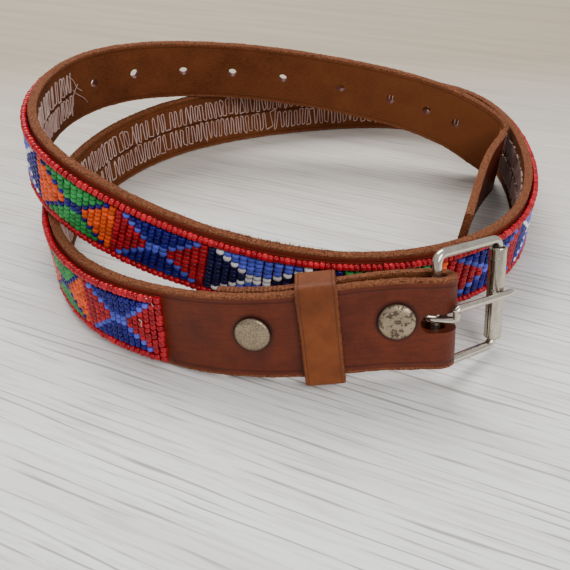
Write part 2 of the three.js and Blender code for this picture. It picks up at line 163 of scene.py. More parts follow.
# The strap's run from the fold to the tail's tip. The columns are across and back, as shares
# of the coil's width and depth, lift of the lower edge, as a share of the strap's width, and
# lean of the top, in degrees.
RUN = (
    (0.201, -0.519, 0.35, -19), (0.114, -0.512, 0.31, -20), (0.005, -0.517, 0.18, -14),
    (-0.104, -0.502, 0.07, -10), (-0.212, -0.464, 0, -7), (-0.31, -0.413, 0, -3),
    (-0.389, -0.33, 0, 0), (-0.448, -0.207, 0, 0), (-0.473, -0.059, 0, 0),
    (-0.453, 0.099, 0, 0), (-0.388, 0.244, 0, 2), (-0.284, 0.359, 0, 3),
    (-0.14, 0.438, 0, 3), (0.025, 0.487, 0, 2), (0.175, 0.511, 0, 1),
    (0.305, 0.506, 0, 0), (0.419, 0.457, 0, -1), (0.494, 0.342, 0, -2),
    (0.51, 0.181, 0, -2), (0.493, 0.022, 0, -2), (0.458, -0.112, 0, -2),
    (0.401, -0.221, 0, 0), (0.321, -0.302, 0, 2), (0.209, -0.354, 0.01, 4),
    (0.071, -0.376, 0.05, 5), (-0.07, -0.356, 0.17, 6), (-0.204, -0.326, 0.38, 4),
    (-0.315, -0.3, 0.71, 1), (-0.405, -0.245, 0.96, -3), (-0.473, -0.142, 1.05, -6),
    (-0.51, 0.004, 1.09, -9), (-0.5, 0.166, 1.11, -10), (-0.425, 0.295, 1.09, -11),
    (-0.296, 0.36, 1.03, -11), (-0.135, 0.374, 0.96, -11), (0.036, 0.353, 0.84, -10),
    (0.192, 0.312, 0.71, -9), (0.312, 0.266, 0.57, -7), (0.392, 0.227, 0.4, -5),
    (0.448, 0.199, 0.19, -3), (0.477, 0.167, 0.03, 0), (0.469, 0.123, 0, 1),
    (0.433, 0.074, 0, 2), (0.382, -0.026, 0, 4), (0.303, -0.235, 0, 5),
)

# The sewn pattern: crosses centred at these distances from the fold. Their side quarters,
# their upper and lower quarters and their stepped outline each have a colour.
CROSS_COLOURS = {
    "red": ("red", "navy", "blue"),
    "orange": ("orange", "green", "navy"),
    "navy": ("navy", "blue", "white"),
    "ink": ("ink", "blue", "white"),
}
CROSSES = (
    ("red", 98.8), ("orange", 127.5), ("navy", 159.0), ("red", 191.0), ("orange", 222.5),
    ("navy", 254.0), ("red", 285.5), ("orange", 317.0), ("navy", 348.5), ("red", 380.5),
    ("orange", 412.0), ("navy", 443.5), ("red", 475.0), ("orange", 507.0), ("navy", 539.0),
    ("red", 571.0), ("orange", 613.0), ("ink", 654.9), ("red", 690.0), ("orange", 720.3),
    ("navy", 757.5), ("red", 790.0),
)
COLUMNS_BETWEEN_CROSSES = 13
ARM_COLUMNS = 5

# Colours as linear light
COLOURS = {
    "red": (0.32, 0.003, 0.01),
    "border_red": (0.42, 0.006, 0.014),
    "navy": (0.005, 0.002, 0.14),
    "ink": (0.005, 0.004, 0.05),
    "blue": (0.075, 0.095, 0.53),
    "white": (0.85, 0.82, 0.79),
    "orange": (0.7, 0.075, 0.005),
    "green": (0.025, 0.25, 0.055),
}
RIVET_COLOUR = (0.42, 0.33, 0.22)
BUCKLE_COLOUR = (0.8, 0.72, 0.6)
ROLLER_COLOUR = (0.68, 0.61, 0.49)

SAMPLES_PER_ROW = 24
SHARP_ANGLE = math.radians(42)
UP = np.array([0.0, 0.0, 1.0])


# The run as a smooth curve

def run_rows(places):
    """The table's columns at places between its rows, by a cubic B-spline."""
    rows = np.array(RUN, float)
    control = np.vstack([2 * rows[0] - rows[1], rows, 2 * rows[-1] - rows[-2]])
    index = np.minimum(np.floor(places).astype(int), len(RUN) - 2)
    u = places - index
    weights = (
        (1 - u) ** 3, 3 * u**3 - 6 * u**2 + 4, -3 * u**3 + 3 * u**2 + 3 * u + 1, u**3,
    )
    return sum(w[:, None] / 6 * control[index + k] for k, w in enumerate(weights))


def run_points(places):
    """Centre of the strap before the shift to the frame's origin, and its lean."""
    across, back, lift, lean = run_rows(places).T
    lean = np.radians(lean)
    height = STRAP_WIDTH / 2 * np.cos(lean) + LEATHER / 2 * np.abs(np.sin(lean))
    z = lift * STRAP_WIDTH + height
    return np.column_stack([across * COIL_WIDTH, back * COIL_DEPTH, z]), lean


PLACES = np.arange((len(RUN) - 1) * SAMPLES_PER_ROW + 1) / SAMPLES_PER_ROW
STEPS = np.linalg.norm(np.diff(run_points(PLACES)[0], axis=0), axis=1)
DISTANCES = np.concatenate([[0], np.cumsum(STEPS)])
RUN_LENGTH = DISTANCES[-1]
BEADS_END = RUN_LENGTH - max(HOLES_FROM_TIP) - BEADS_FROM_FIRST_HOLE


def unit(vectors):
    return vectors / np.linalg.norm(vectors, axis=-1, keepdims=True)


def stations(distances):
    """Centre, along, width and outward normal of the strap at each distance."""
    distances = np.atleast_1d(np.asarray(distances, float))
    places = np.interp(distances, DISTANCES, PLACES)
    ahead = run_points(np.minimum(places + 1e-3, PLACES[-1]))[0]
    behind = run_points(np.maximum(places - 1e-3, 0))[0]
    along = unit(ahead - behind)
    centre, lean = run_points(places)
    upright = unit(UP - along * along[:, 2:])
    outside = np.cross(upright, along)
    cos, sin = np.cos(lean)[:, None], np.sin(lean)[:, None]
    return centre + ORIGIN, along, cos * upright + sin * outside, cos * outside - sin * upright


def station(distance):
    """The same four vectors at one distance."""
    return [vectors[0] for vectors in stations([distance])]


def on_strap(distances, across, out):
    centre, _, width, normal = stations(distances)
    across, out = np.broadcast_arrays(np.asarray(across, float), np.asarray(out, float))
    return centre + across.reshape(-1, 1) * width + out.reshape(-1, 1) * normal


def origin_shift():
    """The frame's origin lies under the middle of the belt, so the bar's joint gives the shift."""
    pivot = next(j for j in frame["joints"] if j["name"] == "buckle_swing")["pos_m"]
    centre, _, _, normal = station(0)
    return np.array(pivot) * 1000 - (centre - FOLD_RADIUS * normal)


ORIGIN = np.zeros(3)
ORIGIN = origin_shift()
FOLD_CENTRE, FOLD_ALONG, FOLD_WIDTH, FOLD_NORMAL = station(0)
BAR_CENTRE = FOLD_CENTRE - FOLD_RADIUS * FOLD_NORMAL


def smoothstep(x):
    x = np.clip(x, 0, 1)
    return x * x * (3 - 2 * x)


def flap_offset(distance):
    """Distance of the flap's middle behind the strap's middle."""
    closed = smoothstep(distance / FLAP_CLOSING_LENGTH)
    return 2 * FOLD_RADIUS + (FLAP_CLOSED_OFFSET - 2 * FOLD_RADIUS) * closed


# Meshes

def piece(name, points, faces, materials, body, nodes, uv=None, pick=None, tone=None):
    """A named piece that rides on a body. uv and tone are by point, pick is the material by face."""
    mesh = bpy.data.meshes.new(name)
    faces = faces.tolist() if isinstance(faces, np.ndarray) else faces
    mesh.from_pydata((np.asarray(points) / 1000).tolist(), [], faces)
    for made in materials:
        mesh.materials.append(made)
    if pick is not None:
        mesh.polygons.foreach_set("material_index", np.asarray(pick, np.int32))
    if uv is not None:
        corners = np.zeros(len(mesh.loops), np.int32)
        mesh.loops.foreach_get("vertex_index", corners)
        layer = mesh.uv_layers.new(name="UVMap")
        layer.data.foreach_set("uv", np.asarray(uv, np.float32)[corners].ravel())
    if tone is not None:
        layer = mesh.attributes.new("tone", "FLOAT", "POINT")
        layer.data.foreach_set("value", np.asarray(tone, np.float32))
    mesh.validate()
    recalculate(mesh)
    mesh.shade_smooth()
    mesh.set_sharp_from_angle(angle=SHARP_ANGLE)
    made = bpy.data.objects.new(name, mesh)
    bpy.context.scene.collection.objects.link(made)
    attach(made, body)
    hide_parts(*nodes)
    return made


def recalculate(mesh):
    work = bmesh.new()
    work.from_mesh(mesh)
    bmesh.ops.recalc_face_normals(work, faces=work.faces)
    work.to_mesh(mesh)
    work.free()


def grid_faces(rows, columns, close_rows=False):
    """Quads of a tube: rows of rings, each ring closed, and the rows closed too if asked."""
    r, c = np.meshgrid(np.arange(rows if close_rows else rows - 1), np.arange(columns), indexing="ij")
    below, beside = (r + 1) % rows, (c + 1) % columns
    quads = [r * columns + c, r * columns + beside, below * columns + beside, below * columns + c]
    return np.stack(quads, -1).reshape(-1, 4)


def tube(centres, sides, ups, radius, ring=12, radius_up=None):
    """Points of rings round a path, and its faces with both ends closed."""
    angle = 2 * np.pi * np.arange(ring) / ring
    radius = np.broadcast_to(radius, len(centres))[:, None, None]
    radius_up = radius if radius_up is None else np.broadcast_to(radius_up, len(centres))[:, None, None]
    points = (
        np.asarray(centres)[:, None]
        + radius * np.cos(angle)[None, :, None] * np.asarray(sides)[:, None]
        + radius_up * np.sin(angle)[None, :, None] * np.asarray(ups)[:, None]
    )
    faces = grid_faces(len(centres), ring).tolist()
    last = (len(centres) - 1) * ring
    faces += [list(range(ring)), list(range(last, last + ring))]
    return points.reshape(-1, 3), faces


def path_frames(points):
    """Two crossways directions that turn as little as they can along a path."""
    tangent = unit(np.gradient(points, axis=0))
    side = np.zeros_like(points)
    start = np.cross(tangent[0], UP)
    side[0] = start / np.linalg.norm(start)
    for i in range(1, len(points)):
        flat = side[i - 1] - tangent[i] * (side[i - 1] @ tangent[i])
        side[i] = flat / np.linalg.norm(flat)
    return side, np.cross(tangent, side)


def joined(parts):
    """Several (points, faces) as one."""
    points, faces, start = [], [], 0
    for p, f in parts:
        points.append(p)
        faces += [[start + k for k in face] for face in f]
        start += len(p)
    return np.vstack(points), faces


def wavy(shape, smooth):
    """Random values that change smoothly along the first axis."""
    values = rng.normal(size=shape)
    if smooth > 1:
        kernel = np.hanning(smooth + 2)[1:-1]
        kernel /= np.sqrt((kernel**2).sum())
        values = np.apply_along_axis(lambda v: np.convolve(v, kernel, "same"), 0, values)
    return values


# Node materials

class Look:
    """A short way to write one procedural material."""

    def __init__(self, name):
        self.material = bpy.data.materials.new(name)
        self.material.use_nodes = True
        self.tree = self.material.node_tree
        self.shader = self.tree.nodes["Principled BSDF"]

    def node(self, kind, inputs=None, **settings):
        made = self.tree.nodes.new(kind)
        for key, value in settings.items():
            setattr(made, key, value)
        for key, value in (inputs or {}).items():
            self.feed(made.inputs[key], value)
        return made

    def feed(self, socket, value):
        if isinstance(value, bpy.types.NodeSocket):
            self.tree.links.new(value, socket)
        else:
            socket.default_value = value

    def set(self, **values):
        for key, value in values.items():
            self.feed(self.shader.inputs[key.replace("_", " ")], value)
        return self

    def math(self, operation, a, b=0.0, c=0.0):
        made = self.node("ShaderNodeMath", operation=operation)
        for socket, value in zip(made.inputs, (a, b, c)):
            self.feed(socket, value)
        return made.outputs[0]

    def ramp(self, value, low, high):
        made = self.node("ShaderNodeMapRange", {"Value": value, "From Min": low, "From Max": high})
        return made.outputs["Result"]

    def mix(self, share, a, b):
        made = self.node("ShaderNodeMix", data_type="RGBA")
        self.feed(made.inputs[0], share)
        self.feed(made.inputs[6], rgba(a))
        self.feed(made.inputs[7], rgba(b))
        return made.outputs[2]

    def over(self, colour, mask, strength, top):
        """The colour with another one laid over it where the mask is 1."""
        return self.mix(self.math("MULTIPLY", mask, strength), colour, top)

    def noise(self, vector, scale, detail=4.0, rough=0.6):
        made = self.node("ShaderNodeTexNoise", {
            "Vector": vector, "Scale": scale, "Detail": detail, "Roughness": rough,
        })
        return made.outputs["Fac"]

    def cells(self, vector, scale, feature="DISTANCE_TO_EDGE"):
        made = self.node("ShaderNodeTexVoronoi", {"Vector": vector, "Scale": scale}, feature=feature)
        return made.outputs["Distance"]

    def place(self):
        return self.node("ShaderNodeTexCoord").outputs["Object"]

    def strip(self, stretch=1.0):
        """Distance along the strap and place across it, in millimetres, as a vector and as values."""
        uv = self.node("ShaderNodeTexCoord").outputs["UV"]
        split = self.node("ShaderNodeSeparateXYZ", {"Vector": uv})
        factors = (1 / stretch, 1.0, 1.0)
        scaled = self.node("ShaderNodeVectorMath", {0: uv, 1: factors}, operation="MULTIPLY")
        return scaled.outputs[0], split.outputs["X"], split.outputs["Y"]

    def bump(self, height, strength, distance):
        inputs = {"Height": height, "Strength": strength, "Distance": distance}
        made = self.node("ShaderNodeBump", inputs)
        self.feed(self.shader.inputs["Normal"], made.outputs["Normal"])
        return self


def rgba(value):
    return (*value, 1.0) if isinstance(value, tuple) and len(value) == 3 else value


def scaled(colour, factor):
    return tuple(factor * value for value in colour)


def line_at(look, value, place, half_width):
    """1 on a line at that place, fading to 0 beside it."""
    off = look.math("ABSOLUTE", look.math("SUBTRACT", value, place))
    return look.math("SUBTRACT", 1.0, look.ramp(off, half_width * 0.3, half_width))


def beaded_stretch(look, along, margin):
    """1 where the strap carries beads, from 2 mm inside the margin at each end."""
    start = look.ramp(along, BEADS_START - margin, BEADS_START - margin + 2)
    end = look.ramp(along, BEADS_END + margin, BEADS_END + margin - 2)
    return look.math("MULTIPLY", start, end)


def painted_shade_round_rivets(look, colour, along, across):
    # Painted shade: a dark ring on the leather round each rivet's cap, where the cap sits in the
    # leather.
    for at in RIVETS_FROM_FOLD:
        away = look.math("POWER", look.math("SUBTRACT", along, at), 2.0)
        aside = look.math("POWER", look.math("SUBTRACT", across, RIVETS_RAISED), 2.0)
        radius = look.math("SQRT", look.math("ADD", away, aside))
        ring = look.ramp(radius, RIVET_CAP + 1.3, RIVET_CAP + 0.1)
        colour = look.over(colour, ring, 0.8, (0.02, 0.006, 0.004))
    return colour


def grain_leather():
    """Brown grain with streaks, flecks, a crease by each edge, rubbed corners and a painted shade ring
    round each rivet.
    """
    look = Look("grain_leather")
    vector, along, across = look.strip()
    streaks = look.strip(9.0)[0]
    broad = look.noise(vector, 0.09, 5)
    fine = look.noise(streaks, 0.9, 6, 0.7)
    crackle = look.ramp(look.cells(vector, 0.85), 0.0, 0.22)
    colour = look.mix(look.ramp(broad, 0.3, 0.7), (0.07, 0.0105, 0.0035), (0.145, 0.026, 0.008))
    colour = look.over(colour, look.ramp(fine, 0.45, 0.7), 0.5, (0.05, 0.009, 0.004))
    grit = look.ramp(look.noise(vector, 1.6, 5, 0.75), 0.42, 0.62)
    colour = look.over(colour, grit, 0.3, (0.055, 0.01, 0.004))
    flecks = look.ramp(look.noise(vector, 2.4, 3), 0.62, 0.72)
    colour = look.over(colour, flecks, 0.35, (0.22, 0.062, 0.026))
    edge = look.math("ABSOLUTE", across)
    crease = line_at(look, edge, CREASE_ACROSS, 0.35)
    colour = look.over(colour, crease, 0.6, (0.04, 0.009, 0.005))
    beaded = beaded_stretch(look, along, 1)
    colour = look.over(colour, beaded, 0.55, (0.24, 0.03, 0.016))
    rubbed = look.ramp(edge, STRAP_WIDTH / 2 - 1.5, STRAP_WIDTH / 2 - 0.9)
    wear = look.ramp(look.noise(vector, 3.0, 4, 0.7), 0.4, 0.6)
    worn = look.mix(wear, (0.07, 0.018, 0.007), (0.2, 0.06, 0.025))
    colour = look.over(colour, rubbed, look.math("MULTIPLY_ADD", beaded, 0.5, 0.35), worn)
    colour = painted_shade_round_rivets(look, colour, along, across)
    dull = look.ramp(broad, 0.3, 0.75)
    look.set(Base_Color=colour, Roughness=look.math("MULTIPLY_ADD", dull, 0.16, 0.42))
    height = look.math("MULTIPLY_ADD", crackle, 0.35, look.math("MULTIPLY", fine, 0.5))
    height = look.math("SUBTRACT", height, look.math("MULTIPLY", crease, 1.6))
    look.bump(height, 0.55, 0.00022)
    look.set(Specular_IOR_Level=0.2)
    return look.material


def flesh_leather():
    """Rough flesh side, paler in the bare tail, with dark lines at the middle and the edges."""
    look = Look("flesh_leather")
    vector, along, across = look.strip()
    fibres = look.noise(look.strip(3.0)[0], 1.5, 8, 0.75)
    broad = look.noise(vector, 0.07, 5, 0.6)
    colour = look.mix(look.ramp(broad, 0.3, 0.72), (0.072, 0.018, 0.0045), (0.14, 0.04, 0.0115))
    colour = look.over(colour, look.ramp(fibres, 0.4, 0.72), 0.5, (0.21, 0.07, 0.024))
    bare = look.ramp(along, RUN_LENGTH - 220, RUN_LENGTH - 70)
    colour = look.over(colour, bare, 0.65, (0.22, 0.072, 0.024))
    middle = line_at(look, across, 0.0, 0.45)
    edges = line_at(look, look.math("ABSOLUTE", across), CREASE_ACROSS + 0.3, 0.3)
    groove = look.math("MULTIPLY", middle, beaded_stretch(look, along, 0))
    lines = look.math("MAXIMUM", groove, look.math("MULTIPLY", edges, 0.45))
    colour = look.over(colour, lines, 0.8, (0.025, 0.008, 0.004))
    look.set(Base_Color=colour, Roughness=0.88, Specular_IOR_Level=0.12)
    height = look.math("SUBTRACT", fibres, look.math("MULTIPLY", lines, 1.4))
    look.bump(height, 0.7, 0.0003)
    return look.material


def cut_leather(name, dark, pale):
    """Speckled cut leather, hatched by the saw near the flap's end."""
    look = Look(name)
    along = look.strip()[1]
    speck = look.noise(look.place(), 1500.0, 4, 0.75)
    broad = look.noise(look.place(), 160.0, 3)
    middle = tuple(0.5 * (a + b) for a, b in zip(dark, pale))
    colour = look.mix(look.ramp(speck, 0.38, 0.62), dark, pale)
    colour = look.over(colour, look.ramp(broad, 0.35, 0.7), 0.45, middle)
    flap = look.ramp(along, -54.0, -60.0)
    hatch = look.math("SINE", look.math("MULTIPLY", along, 4.6))
    hatch = look.math("MULTIPLY", look.ramp(hatch, 0.1, 0.9), flap)
    colour = look.over(colour, hatch, 0.45, (0.045, 0.014, 0.008))
    look.set(Base_Color=colour, Roughness=0.9, Specular_IOR_Level=0.15)
    height = look.math("SUBTRACT", speck, look.math("MULTIPLY", hatch, 0.5))
    look.bump(height, 0.9, 0.0004)
    return look.material


def keeper_leather():
    """Lighter, smoother grain with a crease by each edge of the band."""
    look = Look("keeper_leather")
    place = look.place()
    broad = look.noise(place, 90.0, 5)
    grain = look.cells(place, 1300.0)
    colour = look.mix(look.ramp(broad, 0.32, 0.68), (0.115, 0.027, 0.006), (0.21, 0.056, 0.0125))
    fine = look.noise(place, 700.0, 5, 0.7)
    colour = look.over(colour, look.ramp(fine, 0.5, 0.75), 0.4, (0.1, 0.025, 0.008))
    along = look.strip()[1]
    crease = line_at(look, look.math("ABSOLUTE", along), KEEPER_WIDTH / 2 - 1.1, 0.25)
    colour = look.over(colour, crease, 0.55, (0.06, 0.018, 0.008))
    look.set(Base_Color=colour, Roughness=0.55, Specular_IOR_Level=0.2)
    height = look.math("MULTIPLY_ADD", look.ramp(grain, 0, 0.25), 0.3, fine)
    height = look.math("SUBTRACT", height, look.math("MULTIPLY", crease, 1.5))
    look.bump(height, 0.45, 0.0002)
    return look.material


def bead_glass(name, colour):
    """Glossy glass, a little darker or brighter by the bead's own tone."""
    look = Look(f"glass_{name}")
    tone = look.node("ShaderNodeAttribute", attribute_name="tone").outputs["Fac"]
    bright = tuple(min(1.0, 1.3 * value + 0.004) for value in colour)
    shade = look.mix(tone, scaled(colour, 0.62), bright)
    cloud = look.noise(look.place(), 900.0, 2)
    shade = look.over(shade, look.ramp(cloud, 0.45, 0.75), 0.25, bright)
    look.set(Base_Color=shade, Roughness=look.math("MULTIPLY_ADD", tone, 0.12, 0.15))
    look.set(Specular_IOR_Level=0.24)
    look.bump(cloud, 0.25, 0.0001)
    return look.material


def thread_look():
    look = Look("thread")
    twist = look.noise(look.place(), 2600.0, 3)
    soil = look.noise(look.place(), 120.0, 4)
    colour = look.mix(look.ramp(soil, 0.35, 0.7), (0.4, 0.25, 0.215), (0.62, 0.47, 0.42))
    colour = look.over(colour, look.ramp(twist, 0.5, 0.7), 0.35, (0.25, 0.14, 0.11))
    look.set(Base_Color=colour, Roughness=0.75, Specular_IOR_Level=0.25)
    look.bump(twist, 0.4, 0.0001)
    return look.material


def fibre_look():
    look = Look("leather_fibres")
    shade = look.noise(look.place(), 500.0, 2)
    colour = look.mix(look.ramp(shade, 0.35, 0.65), (0.12, 0.032, 0.012), (0.55, 0.25, 0.11))
    look.set(Base_Color=colour, Roughness=0.9, Specular_IOR_Level=0.15)
    return look.material


def nickel(name, base, rough, flecked, grit=0.25):
    """Nickel plate, darker brown on faces turned downwards as painted shade and painted reflection of
    the leather below, dark flecks where it is worn through, and grit.
    """
    look = Look(name)
    place = look.place()
    broad = look.noise(place, 240.0, 5, 0.65)
    fine = look.noise(place, 2400.0, 4, 0.7)
    colour = look.mix(look.ramp(broad, 0.3, 0.7), scaled(base, 0.72), base)
    colour = look.over(colour, look.ramp(fine, 0.42, 0.6), grit, scaled(base, 0.3))
    normal = look.node("ShaderNodeNewGeometry").outputs["Normal"]
    down = look.node("ShaderNodeSeparateXYZ", {"Vector": normal}).outputs["Z"]
    # Painted shade and painted reflection: faces turned downwards are darkened towards the brown of the
    # leather below.
    colour = look.over(colour, look.ramp(down, 0.35, -0.7), 0.8, (0.13, 0.09, 0.055))
    edge = 0.72 - 0.25 * flecked
    flecks = look.ramp(look.noise(place, 560.0, 6, 0.7), edge, edge + 0.035)
    colour = look.over(colour, flecks, 0.9, (0.05, 0.03, 0.018))
    look.set(Base_Color=colour, Metallic=look.math("MULTIPLY_ADD", flecks, -0.6, 0.95))
    dull = look.math("MULTIPLY_ADD", flecks, 0.3, rough)
    look.set(Roughness=look.math("MULTIPLY_ADD", fine, 0.2, dull))
    height = look.math("SUBTRACT", look.math("MULTIPLY", fine, grit), flecks)
    look.bump(height, 0.35, 0.00012)
    return look.material


def floor_look():
    """Pale boards with slanting grooves, more worn towards the front; whiter at the front and darker,
    browner towards the back as painted light.
    """
    look = Look("pale_floor")
    place = look.place()
    slanted = look.node("ShaderNodeMapping", {
        "Vector": place, "Rotation": (0, 0, math.radians(-23)), "Scale": (18.0, 1.0, 1.0),
    }, vector_type="TEXTURE").outputs[0]
    bands = look.node("ShaderNodeTexWave", {
        "Vector": slanted, "Scale": 105.0, "Distortion": 6.0, "Detail": 3.0, "Detail Scale": 1.6,
    }, bands_direction="Y").outputs["Fac"]
    broken = look.ramp(look.noise(slanted, 240.0, 3, 0.6), 0.44, 0.54)
    grooves = look.math("MULTIPLY", look.ramp(bands, 0.86, 0.99), broken)
    scratches = look.ramp(look.noise(slanted, 800.0, 3, 0.5), 0.5, 0.62)
    streaks = look.ramp(look.noise(slanted, 90.0, 5, 0.6), 0.38, 0.64)
    y = look.node("ShaderNodeSeparateXYZ", {"Vector": place}).outputs["Y"]
    # Painted light: the boards are whiter at the front and darker and browner towards the back, as the
    # light falls off.
    back = look.ramp(y, -0.12, 0.22)
    light = look.mix(back, (0.97, 0.97, 0.96), (0.445, 0.37, 0.27))
    dark = look.mix(back, (0.84, 0.83, 0.81), (0.39, 0.32, 0.232))
    colour = look.mix(streaks, light, dark)
    fade = look.math("MULTIPLY_ADD", back, -0.5, 0.8)
    scratched = look.math("MULTIPLY", fade, 0.3)
    colour = look.over(colour, scratches, scratched, (0.35, 0.31, 0.27))
    colour = look.over(colour, grooves, fade, (0.33, 0.295, 0.265))
    look.set(Base_Color=colour, Roughness=0.6, Specular_IOR_Level=0.25)
    look.bump(grooves, 0.2, -0.0004)
    return look.material


# Strap

def strap_profile():
    """Across, out and face kind (0 grain, 1 cut edge, 2 flesh) round the strap's section."""
    half, skin = STRAP_WIDTH / 2, LEATHER / 2
    flat = np.linspace(-half + 1.0, half - 1.0, 10)
    points = [(x, skin, 0) for x in flat]
    points += [(half + past, share * skin, 1) for past, share in EDGE_ROUND]
    points += [(x, -skin, 2) for x in flat[::-1]]
    points += [(-half - past, -share * skin, 1) for past, share in EDGE_ROUND]
    return points


def strap_sections():
    """Centre, width, normal and distance along the whole strip, tail first and flap last."""
    tail = np.linspace(RUN_LENGTH, 0, int(RUN_LENGTH / SECTION_STEP))
    centre, _, width, normal = stations(tail)
    sections = [(centre, width, normal, tail)]
    turns = np.linspace(0, math.pi, 18)[1:-1]
    outward = np.cos(turns)[:, None] * FOLD_NORMAL - np.sin(turns)[:, None] * FOLD_ALONG
    bent = BAR_CENTRE + FOLD_RADIUS * outward
    sections.append((bent, np.tile(FOLD_WIDTH, (len(turns), 1)), outward, -FOLD_RADIUS * turns))
    flap = np.linspace(0, FLAP_LENGTH, int(FLAP_LENGTH / SECTION_STEP))
    centre, _, width, normal = stations(flap)
    raised = FLAP_RAISED * smoothstep(flap / FLAP_CLOSING_LENGTH)
    centre = centre + raised[:, None] * width - flap_offset(flap)[:, None] * normal
    sections.append((centre, width, -normal, -FOLD_RADIUS * math.pi - flap))
    return [np.concatenate(column) for column in zip(*sections)]


def make_strap():
    profile = strap_profile()
    across = np.array([p[0] for p in profile])
    out = np.array([p[1] for p in profile])
    kind = np.array([p[2] for p in profile])
    centre, width, normal, distance = strap_sections()
    count, ring = len(centre), len(profile)
    rough = np.where(kind == 1, 0.07, 0.0)
    fray_across = wavy((count, ring), 1) * rough + wavy((count, 1), 9) * 0.05
    fray_out = wavy((count, ring), 2) * rough * 0.5
    points = (
        centre[:, None]
        + (across + fray_across * np.sign(across))[:, :, None] * width[:, None]
        + (out + fray_out)[:, :, None] * normal[:, None]
    )
    points[..., 2] = np.maximum(points[..., 2], 0.0)
    uv = np.stack(np.broadcast_arrays(distance[:, None], across[None]), -1).reshape(-1, 2)
    faces = grid_faces(count, ring).tolist()
    by_face = np.where(kind == np.roll(kind, -1), kind, 1)
    pick = np.tile(by_face, count - 1).tolist()
    last = (count - 1) * ring
    for start in (0, last):
        faces.append(list(range(start, start + ring)))
        pick.append(1)
    looks = [grain_leather(), EDGE_LOOK, flesh_leather()]
    strap = piece("strap_leather", points.reshape(-1, 3), faces, looks, "belt", ["strap"],
                  uv=uv, pick=pick)
    # The walls of the size holes, the rivet holes and the slot get a much darker cut leather: painted
    # shade inside the holes.
    punch(strap, cut_leather("punched_leather_painted_shade", (0.018, 0.006, 0.003), (0.09, 0.028, 0.012)))


def punch(strap, look):
    """Cuts the size holes, the rivet holes and the tongue's slot."""
    cutters = []
    for gap in HOLES_FROM_TIP:
        cutters.append(round_cutter(RUN_LENGTH - gap, 0, HOLE_DIAMETER / 2, 3.4, 22))
    for at in RIVETS_FROM_FOLD:
        radius = RIVET_STEM + RIVET_HOLE_SLACK
        cutters.append(round_cutter(at, RIVETS_RAISED, radius, 16, 16))
    cutters.append(slot_cutter())
    points, faces = joined(cutters)
    mesh = bpy.data.meshes.new("cutters")
    mesh.from_pydata((points / 1000).tolist(), [], faces)
    mesh.materials.append(look)
    recalculate(mesh)
    cutter = bpy.data.objects.new("cutters", mesh)
    bpy.context.scene.collection.objects.link(cutter)
    modifier = strap.modifiers.new("punch", "BOOLEAN")
    modifier.object = cutter
    modifier.operation = "DIFFERENCE"
    modifier.solver = "EXACT"
    bpy.context.view_layer.update()
    evaluated = strap.evaluated_get(bpy.context.evaluated_depsgraph_get())
    cut = bpy.data.meshes.new_from_object(evaluated)
    strap.modifiers.clear()
    strap.data = cut
    bpy.data.objects.remove(cutter)
    cut.set_sharp_from_angle(angle=SHARP_ANGLE)


def round_cutter(distance, across, radius, depth, sides):
    centre, along, width, normal = station(distance)
    centre = centre + across * width
    ends = np.array([centre - depth * normal, centre + depth * normal])
    wobble = 1 + 0.05 * rng.normal()
    return tube(ends, [along, along], [width, width], radius, sides, radius * wobble)


def slot_cutter():
    round_ = SLOT_WIDTH / 2
    reach = FOLD_RADIUS + LEATHER
    turn = np.linspace(math.pi / 2, 1.5 * math.pi, 13)
    outline = [(reach, round_)]
    outline += [(round_ - SLOT_LENGTH + round_ * math.cos(a), round_ * math.sin(a)) for a in turn]
    outline += [(reach, -round_)]
    flat = [BAR_CENTRE - x * FOLD_ALONG + (y + SLOT_RAISED) * FOLD_WIDTH for x, y in outline]
    points = np.array([p + z * FOLD_NORMAL for z in (-reach, reach) for p in flat])
    count = len(outline)
    faces = grid_faces(2, count).tolist()
    faces += [list(range(count)), list(range(count, 2 * count))]
    return points, faces


def make_fibres():
    """Short leather fibres that stand up from the cut edges."""
    count = FIBRE_COUNT
    distance = rng.uniform(0, RUN_LENGTH, count)
    side = np.where(rng.random(count) < FIBRES_ABOVE, 1.0, -1.0)
    out = rng.uniform(-1.4, 1.4, count)
    length = rng.gamma(2.0, 0.14, count)
    tuft = rng.random(count) < TUFT_SHARE
    distance[tuft] = rng.normal(TUFT_PLACE, TUFT_SPREAD, tuft.sum())
    side[tuft] = 1.0
    out[tuft] = rng.uniform(-1.5, -0.3, tuft.sum())
    length[tuft] *= 2.0
    length = np.clip(length, 0.1, 1.7)
    centre, along, width, normal = stations(distance)
    root = centre + (side * (STRAP_WIDTH / 2 - 0.15))[:, None] * width + out[:, None] * normal
    lean = rng.normal(0, 0.8, (count, 2))
    way = unit(side[:, None] * width + lean[:, :1] * along + lean[:, 1:] * 0.7 * normal)
    tip = root + way * length[:, None]
    a = unit(np.cross(way, along))
    b = np.cross(way, a)
    thick = rng.uniform(0.05, 0.17, count)[:, None]
    corners = [root + thick * (math.cos(t) * a + math.sin(t) * b) for t in (0, 2.1, 4.2)]
    points = np.stack([*corners, tip], 1).reshape(-1, 3)
    base = 4 * np.arange(count)[:, None]
    faces = np.concatenate([base + f for f in ([0, 1, 2], [0, 1, 3], [1, 2, 3], [2, 0, 3])])
    keep = (points[:, 2] > 0.05).reshape(-1, 4).all(1)
    faces = faces[np.tile(keep, 4)]
    used, faces = np.unique(faces, return_inverse=True)
    piece("edge_fibres", points[used], faces.reshape(-1, 3), [fibre_look()], "belt", ["strap"])


# Beads

def bead_shape():
    """One bead: a rounded ring round x, one unit long and one unit in radius."""
    side = [(-0.45, 0.35), (-0.5, 0.66), (-0.33, 0.92)]
    profile = side + [(0, 1.0)] + [(-x, r) for x, r in side[::-1]]
    angle = 2 * np.pi * np.arange(BEAD_SIDES) / BEAD_SIDES
    points = [(x, r * math.cos(a), r * math.sin(a)) for a in angle for x, r in profile]
    return np.array(points), grid_faces(BEAD_SIDES, len(profile), close_rows=True)


BEAD_POINTS, BEAD_FACES = bead_shape()


